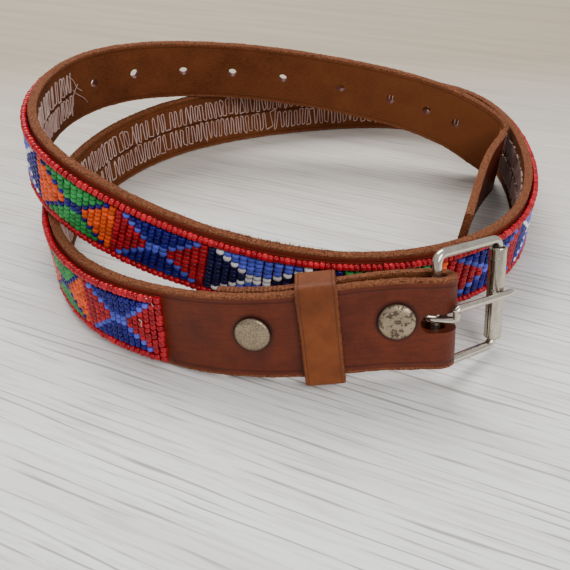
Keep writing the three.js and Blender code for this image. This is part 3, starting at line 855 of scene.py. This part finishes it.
def make_beads(name, rows, colour, node):
    """rows hold centre, axis, side, up, length, radius aside and radius up of each bead."""
    centre, axis, side, up = (np.array([r[k] for r in rows]) for k in range(4))
    length, aside, high = (np.array([r[k] for r in rows])[:, None] for k in range(4, 7))
    count = len(rows)
    length = length * rng.normal(0.95, 0.035, (count, 1))
    size = rng.normal(1.0, 0.035, (count, 1))
    centre = centre + rng.normal(0, 0.06, (count, 3))
    tilt = rng.normal(0, 0.06, (count, 2))
    axis = unit(axis + tilt[:, :1] * side + tilt[:, 1:] * up)
    side = unit(side - axis * (side * axis).sum(1, keepdims=True))
    up = np.cross(axis, side)
    local = BEAD_POINTS[None]
    points = (
        centre[:, None]
        + (local[..., :1] * length[:, None]) * axis[:, None]
        + (local[..., 1:2] * (aside * size)[:, None]) * side[:, None]
        + (local[..., 2:] * (high * size)[:, None]) * up[:, None]
    ).reshape(-1, 3)
    faces = (BEAD_FACES[None] + len(BEAD_POINTS) * np.arange(count)[:, None, None]).reshape(-1, 4)
    tone = np.repeat(rng.random(count), len(BEAD_POINTS))
    piece(name, points, faces, [bead_glass(name, COLOURS[colour])], "belt", [node], tone=tone)


def bead_columns():
    """Place along the strap, pitch, kind of cross and columns from its centre."""
    pairs = list(zip(CROSSES, CROSSES[1:]))
    pitches = [(after[1] - before[1]) / COLUMNS_BETWEEN_CROSSES for before, after in pairs]
    (first_kind, first_at), (last_kind, last_at) = CROSSES[0], CROSSES[-1]
    columns = [(first_at - k * pitches[0], pitches[0], first_kind, k) for k in range(8, 0, -1)]
    for ((kind, at), (next_kind, _)), pitch in zip(pairs, pitches):
        for k in range(COLUMNS_BETWEEN_CROSSES):
            near = k <= COLUMNS_BETWEEN_CROSSES // 2
            offset = k if near else COLUMNS_BETWEEN_CROSSES - k
            columns.append((at + k * pitch, pitch, kind if near else next_kind, offset))
    columns += [(last_at + k * pitches[-1], pitches[-1], last_kind, k) for k in range(12)]
    return [c for c in columns if BEADS_START + 3.2 < c[0] < BEADS_END - 1.2]


def bead_colour(kind, offset, row):
    """The chart: a cross whose arms step one row for each column."""
    side, top, outline = CROSS_COLOURS[kind]
    off_middle = abs(row - (BEAD_ROWS - 1) / 2) + 0.5
    arm = max(offset, 1)
    if arm > ARM_COLUMNS or off_middle < arm:
        return side
    return outline if off_middle == arm else top


def add_bead(rows, colour, place, across, out, length, aside, high, lengthwise=False):
    centre, along, width, normal = place
    centre = centre + across * width + out * normal
    axis, side = (along, width) if lengthwise else (width, along)
    rows.setdefault(colour, []).append((centre, axis, side, normal, length, aside, high))


def make_beadwork():
    rows = {}
    pitch_across = 2 * FIELD_HALF / BEAD_ROWS
    for at, pitch, kind, offset in bead_columns():
        place = station(at)
        for row in range(BEAD_ROWS):
            across = (row + 0.5) * pitch_across - FIELD_HALF
            aside = min(0.53 * pitch, 1.5)
            add_bead(rows, bead_colour(kind, offset, row), place, across, FIELD_OUT,
                     pitch_across, aside, BEAD_THICKNESS / 2)
    place = station(BEADS_START + 1.2)
    for row in range(END_BEADS):
        across = (row - (END_BEADS - 1) / 2) * END_BEAD_PITCH
        add_bead(rows, "red", place, across, FIELD_OUT, END_BEAD_PITCH, 1.2, 1.15)
    for colour, beads in rows.items():
        make_beads(f"beads_{colour}", beads, colour, "bead_field")
    make_border("upper", 1)
    make_border("lower", -1)


def make_border(label, side):
    rows = {}
    radius = BORDER_DIAMETER / 2
    for at in np.arange(BEADS_START + 3.4, BEADS_END - 0.8, BORDER_PITCH):
        add_bead(rows, "red", station(at), side * BORDER_CENTRE, BORDER_OUT, BORDER_PITCH,
                 radius, radius, lengthwise=True)
    make_beads(f"border_beads_{label}", rows["red"], "border_red", f"bead_border_{label}")


# Thread

def meander(low, high):
    """A thread that runs up and down across the flesh side, one stitch after another."""
    places, across = [], []
    at, upwards = BEADS_START + 1.5, True
    while at < BEADS_END - 1.5:
        start, stop = (low, high) if upwards else (high, low)
        lean = rng.normal(0, 0.6)
        trim = rng.normal(0, 0.45, 2)
        for share in (0.0, 0.1, 0.5, 0.9, 1.0):
            inward = {0.0: -0.2, 1.0: 0.2}.get(share, 0.0)
            places.append(at + lean * (share - 0.5) + inward + 0.07 * rng.normal())
            across.append(start + (stop - start) * share + trim[int(share >= 0.5)])
        at += 1.15 + rng.gamma(2.0, 0.2) + (1.6 if rng.random() < 0.04 else 0)
        upwards = not upwards
    return np.array(places), np.array(across)


def thread_tube(points, radius, ring=5):
    side, up = path_frames(points)
    return tube(points, side, up, radius, ring)


def make_stitches():
    parts = []
    for low, high in STITCH_ROWS:
        places, across = meander(low, high)
        out = -LEATHER / 2 - STITCH_LIFT + 0.06 * rng.normal(size=len(places))
        parts.append(thread_tube(on_strap(places, across, out), STITCH_RADIUS))
    points, faces = joined(parts)
    piece("stitches", points, faces, [thread_look()], "belt", ["strap"])


def loose_thread(start, stop, across, out, sway, count=14):
    share = np.linspace(0, 1, count)
    places = start + (stop - start) * share + sway * np.sin(share * 7)
    lift = out - 0.5 * np.sin(share * math.pi)
    across = across[0] + (across[1] - across[0]) * share
    return thread_tube(on_strap(places, across, lift), LOOSE_RADIUS)


def make_loose_threads():
    start, end = BEADS_START, BEADS_END
    behind = -LEATHER / 2 - LOOSE_LIFT
    # Start and stop along the strap, across at both, height and sway
    threads = (
        (end - 4, end + 5, (8.5, -1.0), behind, 0.7),
        (end - 1, end + 9, (1.5, -7.5), behind, -0.5),
        (end - 5, end + 2, (-8.0, 3.0), behind, 1.1),
        (start + 2.0, start + 4.4, (9.2, 11.6), 4.0, 0.3),
        (start + 7.0, start + 7.6, (0.8, 3.4), 4.5, 0.2),
    )
    points, faces = joined([loose_thread(*row) for row in threads])
    piece("loose_threads", points, faces, [thread_look()], "belt", ["strap"])


# Keeper and rivets

def rounded_rectangle(half_x, half_y, corner, per_corner=8, per_side=10):
    """Points round a rectangle with round corners, and the outward way at each."""
    points, ways = [], []
    corners = ((1, -1, -90), (1, 1, 0), (-1, 1, 90), (-1, -1, 180))
    for k, (sx, sy, start) in enumerate(corners):
        centre = np.array([sx * (half_x - corner), sy * (half_y - corner)])
        for i in range(per_corner + 1):
            angle = math.radians(start + 90 * i / per_corner)
            way = np.array([math.cos(angle), math.sin(angle)])
            points.append(centre + corner * way)
            ways.append(way)
        sx, sy, start = corners[(k + 1) % 4]
        angle = math.radians(start)
        way = np.array([math.cos(angle), math.sin(angle)])
        ahead = np.array([sx * (half_x - corner), sy * (half_y - corner)]) + corner * way
        here = points[-1]
        for i in range(1, per_side):
            points.append(here + (ahead - here) * i / per_side)
            ways.append(way)
    return np.array(points), np.array(ways)


def keeper_section():
    """Across the band, outwards, and kind of the face from there (0 grain, 1 edge, 2 flesh)."""
    half, thick = KEEPER_WIDTH / 2, KEEPER_LEATHER / 2
    return [
        (-half + 0.35, thick, 0), (-half / 2, thick + 0.03, 0), (0, thick + 0.05, 0),
        (half / 2, thick + 0.03, 0), (half - 0.35, thick, 1), (half - 0.02, 0.4 * thick, 1),
        (half, -0.5 * thick, 1), (half - 0.3, -thick, 2), (0, -thick, 2),
        (-half + 0.3, -thick, 1), (-half, -0.5 * thick, 1), (-half + 0.02, 0.4 * thick, 1),
    ]


def make_keeper():
    widest = float(flap_offset(KEEPER_FROM_FOLD - KEEPER_WIDTH))
    half_deep = (LEATHER + widest + KEEPER_SLACK_DEEP + KEEPER_LEATHER) / 2
    half_across = (STRAP_WIDTH + KEEPER_SLACK_ACROSS + KEEPER_LEATHER) / 2
    loop, ways = rounded_rectangle(half_across, half_deep, KEEPER_CORNER)
    section = keeper_section()
    centre, along, width, normal = station(KEEPER_FROM_FOLD)
    centre = centre - KEEPER_DROP * width - widest / 2 * normal
    slant = math.radians(KEEPER_SLANT)
    band_way = math.sin(slant) * width - math.cos(slant) * along
    cross_way = math.cos(slant) * width + math.sin(slant) * along
    points, uv = [], []
    wave = wavy((len(loop), 2), 7) * 0.07
    for (a, d), (wa, wd), (w0, w1) in zip(loop, ways, wave):
        for x, t, _ in section:
            edge = (w0 if x > 0 else w1) if abs(x) > KEEPER_WIDTH / 4 else 0
            place = centre + (x + edge) * band_way + (a + t * wa) * cross_way
            points.append(place + (d + t * wd) * normal)
            uv.append((x, a))
    faces = grid_faces(len(loop), len(section), close_rows=True)
    pick = [kind for _, _, kind in section] * len(loop)
    piece("keeper_loop", points, faces, [keeper_leather(), EDGE_LOOK, flesh_leather()], "belt",
          ["keeper"], uv=uv, pick=pick)


def lathe(profile, centre, axis, side, sides=48):
    """A closed solid of revolution from (radius, height) rows, first and last on the axis."""
    other = np.cross(axis, side)
    angle = 2 * np.pi * np.arange(sides) / sides
    ring_way = np.cos(angle)[:, None] * side + np.sin(angle)[:, None] * other
    points = [centre + profile[0][1] * axis]
    for radius, height in profile[1:-1]:
        points += list(centre + height * axis + radius * ring_way)
    points.append(centre + profile[-1][1] * axis)
    rings = len(profile) - 2
    faces = (grid_faces(rings, sides) + 1).tolist()
    top = 1 + (rings - 1) * sides
    for k in range(sides):
        n = (k + 1) % sides
        faces.append([0, 1 + k, 1 + n])
        faces.append([top + k, top + n, len(points) - 1])
    return np.array(points), faces


def make_rivet(index, at, look):
    front = LEATHER / 2 + RIVET_CLEARANCE
    back = -float(flap_offset(at)) - LEATHER / 2 - RIVET_CLEARANCE
    low = back - RIVET_BACK_HEIGHT
    profile = [
        (0, low), (0.9 * RIVET_BACK, low), (RIVET_BACK, back - 0.6 * RIVET_BACK_HEIGHT),
        (RIVET_BACK, back), (RIVET_STEM, back), (RIVET_STEM, front),
    ]
    profile += [(RIVET_CAP * r, front + RIVET_CAP_HEIGHT * h) for r, h in RIVET_DOME]
    centre, along, width, normal = station(at)
    points, faces = lathe(profile, centre + RIVETS_RAISED * width, normal, along)
    piece(f"rivet_{index}_metal", points, faces, [look], "belt", [f"rivet_{index}"])


def make_rivets():
    worn = nickel("worn_rivet", RIVET_COLOUR, 0.25, 0.85)
    plain = nickel("plain_rivet", RIVET_COLOUR, 0.3, 0.35, 0.8)
    for index, (at, look) in enumerate(zip(RIVETS_FROM_FOLD, (worn, plain)), 1):
        make_rivet(index, at, look)


# Buckle

SWING = math.radians(FRAME_SWING)


def turned(vector, axis, angle):
    return (vector * math.cos(angle) + np.cross(axis, vector) * math.sin(angle)
            + axis * (axis @ vector) * (1 - math.cos(angle)))


BUCKLE_OUT = turned(-FOLD_ALONG, FOLD_WIDTH, SWING)
BUCKLE_FRONT = np.cross(BUCKLE_OUT, FOLD_WIDTH)


def on_bar(points):
    points = np.asarray(points, float)
    return (BAR_CENTRE + points[:, :1] * BUCKLE_OUT + points[:, 1:2] * FOLD_WIDTH
            + points[:, 2:] * BUCKLE_FRONT)


def make_buckle_frame(look):
    loop, ways = rounded_rectangle(FRAME_REACH / 2, HALF_SPAN, FRAME_CORNER, 10, 8)
    loop = loop + np.array([FRAME_REACH / 2, FRAME_SHIFT])
    ring = 18
    angle = 2 * np.pi * np.arange(ring) / ring
    points = []
    for (x, y), (wx, wy) in zip(loop, ways):
        for a in angle:
            out = WIRE / 2 * math.cos(a)
            points.append((x + out * wx, y + out * wy, WIRE / 2 * 0.97 * math.sin(a)))
    faces = grid_faces(len(loop), ring, close_rows=True)
    piece("buckle_wire", on_bar(points), faces, [look], "buckle", ["buckle_frame"])


def roller_section():
    """Radius and place along the bar, round the section of the roller's sheet."""
    half = HALF_SPAN - FRAME_CORNER + 0.3
    inner, outer = ROLLER_RADIUS - ROLLER_WALL, ROLLER_RADIUS
    lip = [
        (inner, half - 0.1), (outer - 0.25, half), (outer - 0.04, half - 0.2),
        (outer, half - 0.6), (outer, half / 2),
    ]
    return [(r, -y) for r, y in lip] + [(outer, 0)] + lip[::-1] + [(inner, 0)]


def make_roller(look):
    """A rolled sheet with a narrow seam."""
    section = roller_section()
    turns = np.radians(np.linspace(184, 536, 45))
    points = []
    for a in turns:
        for r, y in section:
            points.append((FRAME_REACH + r * math.cos(a), FRAME_SHIFT + y, r * math.sin(a)))
    faces = grid_faces(len(turns), len(section)).tolist()
    last = (len(turns) - 1) * len(section)
    faces += [list(range(len(section))), list(range(last, last + len(section)))]
    piece("roller_tube_metal", on_bar(points), faces, [look], "roller_tube", ["roller"])


def tongue_path():
    """The tongue's middle: its eye round the bar, its kink over the fold and its straight end."""
    eye = [math.radians(45 - 290 * (1 - i / 24)) for i in range(25)]
    path = [(-TONGUE_EYE * math.cos(a), TONGUE_EYE_ASIDE, TONGUE_EYE * math.sin(a)) for a in eye]
    path += [
        (0.13 * OVER_FOLD, TONGUE_ROOT_ASIDE, 0.96 * OVER_FOLD),
        (0.0, TONGUE_KINK_ASIDE, 1.07 * OVER_FOLD),
        (FRAME_REACH, TONGUE_END_ASIDE, OVER_ROLLER),
        (FRAME_REACH + TONGUE_OVERHANG, TONGUE_END_ASIDE, OVER_ROLLER - TONGUE_END_DROP),
    ]
    return np.array(path)


def make_tongue(look):
    path = tongue_path()
    steps = np.linalg.norm(np.diff(path, axis=0), axis=1)
    lengths = np.concatenate([[0], np.cumsum(steps)])
    fine = np.arange(0, lengths[-1], 0.45)
    points = np.column_stack([np.interp(fine, lengths, path[:, k]) for k in range(3)])
    for _ in range(4):
        points[1:-1] = (points[:-2] + 2 * points[1:-1] + points[2:]) / 4
    kink, end = lengths[-3], fine[-1]
    places = [0, 1, kink - 3, kink, end - 2.4, end - 0.8, end]
    shares = [0.6, 0.86, 0.9, 1.0, 1.0, 0.82, 0.45]
    radius = TONGUE_RADIUS * np.interp(fine, places, shares)
    points = on_bar(points)
    tangent = unit(np.gradient(points, axis=0))
    side = unit(FOLD_WIDTH - tangent * (tangent @ FOLD_WIDTH)[:, None])
    points, faces = tube(points, side, np.cross(tangent, side), radius, 16)
    piece("tongue_wire", points, faces, [look], "buckle_tongue", ["tongue"])


def make_buckle():
    look = nickel("buckle_nickel", BUCKLE_COLOUR, 0.07, 0.1)
    make_buckle_frame(look)
    make_roller(nickel("roller_nickel", ROLLER_COLOUR, 0.12, 0.45))
    make_tongue(look)


# Surroundings

def make_floor():
    bpy.ops.mesh.primitive_plane_add(size=6, location=(0, 0, -FLOOR_GAP / 1000))
    floor = bpy.context.object
    floor.name = "floor"
    floor.data.materials.append(floor_look())


def area_light(name, place, size, power, colour):
    data = bpy.data.lights.new(name, "AREA")
    data.shape = "RECTANGLE"
    data.size, data.size_y = size
    data.energy, data.color = power, colour
    light = bpy.data.objects.new(name, data)
    light.location = place
    light.rotation_euler = (-Vector(place)).to_track_quat("-Z", "Y").to_euler()
    bpy.context.scene.collection.objects.link(light)


def make_lights():
    for row in LIGHTS:
        area_light(*row)
    world = bpy.data.worlds.new("daylight")
    world.use_nodes = True
    background = world.node_tree.nodes["Background"]
    background.inputs["Color"].default_value = DAYLIGHT
    background.inputs["Strength"].default_value = DAYLIGHT_STRENGTH
    bpy.context.scene.world = world


def make_camera():
    data = bpy.data.cameras.new("camera")
    data.sensor_width = SENSOR_WIDTH
    data.lens = SENSOR_WIDTH * FOCAL_PIXELS / PHOTO_PIXELS
    data.clip_start = 0.005
    camera = bpy.data.objects.new("camera", data)
    camera.location = tuple((np.array(CAMERA_PLACE) + ORIGIN) / 1000)
    down = Matrix.Rotation(math.radians(90 - CAMERA_DOWN), 3, "X")
    roll = Matrix.Rotation(math.radians(CAMERA_ROLL), 3, "Z")
    camera.rotation_euler = (down @ roll).to_euler()
    bpy.context.scene.collection.objects.link(camera)
    bpy.context.scene.camera = camera


EDGE_LOOK = cut_leather("cut_edge_leather", (0.055, 0.014, 0.006), (0.28, 0.1, 0.044))
make_strap()
make_fibres()
make_beadwork()
make_stitches()
make_loose_threads()
make_keeper()
make_rivets()
make_buckle()
make_floor()
make_lights()
make_camera()
